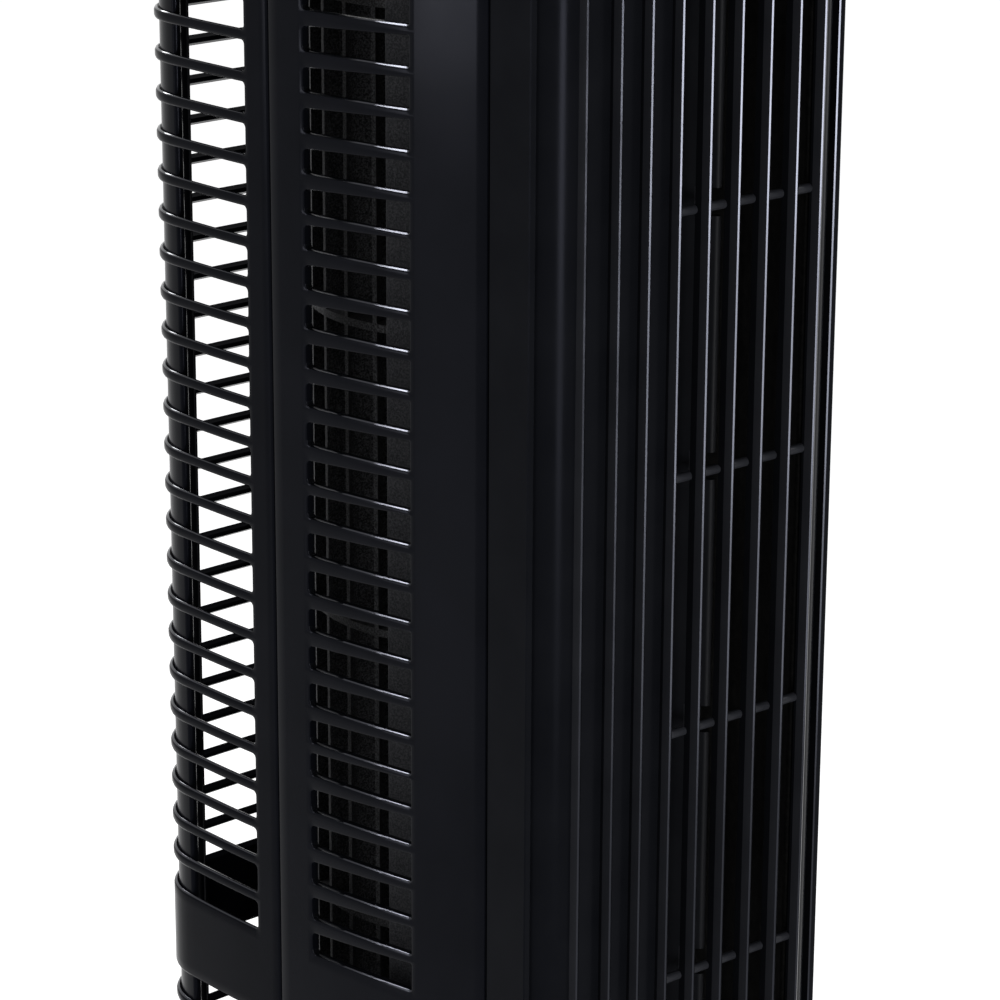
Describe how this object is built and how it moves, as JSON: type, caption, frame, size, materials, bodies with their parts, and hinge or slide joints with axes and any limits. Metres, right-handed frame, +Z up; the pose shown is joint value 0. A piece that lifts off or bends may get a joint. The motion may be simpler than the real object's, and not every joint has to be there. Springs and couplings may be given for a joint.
{
  "type": "tower fan",
  "caption": "Free-standing tower fan with a slotted column, finned front outlet, hooped rear guard, tall drum impeller, swinging foot on a round base and push buttons on top.",
  "frame": {"origin": "middle of the round base on the floor, on the axis that the tower swings about", "axes": "+Z up; -Y is the front, where the air comes out; +X is to the right as seen from the front"},
  "size_m": [0.25, 0.25, 0.7668],
  "materials": {
    "black_abs": "black moulded ABS, satin, lightly grained",
    "inner_black": "black moulded plastic, dull",
    "drum_plastic": "dark glass-filled plastic",
    "panel_gloss": "polished black",
    "button_plastic": "dark grey moulded plastic",
    "lens": "smoked clear plastic",
    "board": "solder-masked circuit board",
    "steel": "zinc-plated steel",
    "motor_metal": "die-cast",
    "laminations": "stacked electrical steel",
    "bronze": "sintered bronze",
    "iron": "cast weight",
    "rubber": "moulded rubber",
    "nylon": "natural nylon"
  },
  "bodies": {
    "base": {"base_shell": "black_abs", "base_plate": "steel", "base_screws": "steel", "rubber_feet": "rubber", "ballast_ring": "iron", "swivel_post": "inner_black", "thrust_washer": "nylon", "swivel_retainer": "steel", "sector_gear": "nylon"},
    "tower": {"tower_foot": "black_abs", "cord_gland": "rubber", "swing_motor": "steel", "motor_deck": "inner_black", "motor_bell_lower": "motor_metal", "motor_bell_upper": "motor_metal", "motor_stack": "laminations", "motor_bushes": "bronze", "motor_bolts": "steel", "side_panel_left": "black_abs", "side_panel_right": "black_abs", "rear_guard": "black_abs", "front_grille": "black_abs", "outlet_tongue": "inner_black", "scroll_guide": "inner_black", "bearing_deck": "inner_black", "bearing_rubber": "rubber", "bearing_bush": "bronze", "guard_screws": "steel", "top_cap": "black_abs", "control_panel": "panel_gloss", "indicator_lens": "lens", "control_board": "board"},
    "drum": {"impeller": "drum_plastic", "impeller_pin": "steel", "motor_shaft": "steel", "motor_rotor": "laminations", "hub_screw": "steel"},
    "pinion": {"swing_pinion": "nylon"},
    "power_button": {"power_button": "button_plastic"},
    "speed_button": {"speed_button": "button_plastic"},
    "timer_button": {"timer_button": "button_plastic"},
    "swing_button": {"swing_button": "button_plastic"}
  },
  "joints": [
    {"name": "swing", "type": "hinge", "parent": "base", "child": "tower", "pos_m": [0, 0, 0.068], "axis": [0, 0, 1], "range_deg": [-35, 35]},
    {"name": "drum_spin", "type": "hinge", "parent": "tower", "child": "drum", "pos_m": [0, 0.0077, 0.4], "axis": [0, 0, 1], "continuous": true},
    {"name": "pinion_spin", "type": "hinge", "parent": "tower", "child": "pinion", "pos_m": [0.03125, 0, 0.0843], "axis": [0, 0, 1], "range_deg": [-95, 95]},
    {"name": "power_press", "type": "slide", "parent": "tower", "child": "power_button", "axis": [0, 0, -1], "range_m": [0, 0.0012], "stiffness_N_per_m": 800},
    {"name": "speed_press", "type": "slide", "parent": "tower", "child": "speed_button", "axis": [0, 0, -1], "range_m": [0, 0.0012], "stiffness_N_per_m": 800},
    {"name": "timer_press", "type": "slide", "parent": "tower", "child": "timer_button", "axis": [0, 0, -1], "range_m": [0, 0.0012], "stiffness_N_per_m": 800},
    {"name": "swing_press", "type": "slide", "parent": "tower", "child": "swing_button", "axis": [0, 0, -1], "range_m": [0, 0.0012], "stiffness_N_per_m": 800}
  ],
  "couplings": [
    {"joint": "pinion_spin", "follows": "swing", "ratio": 2.5714}
  ]
}
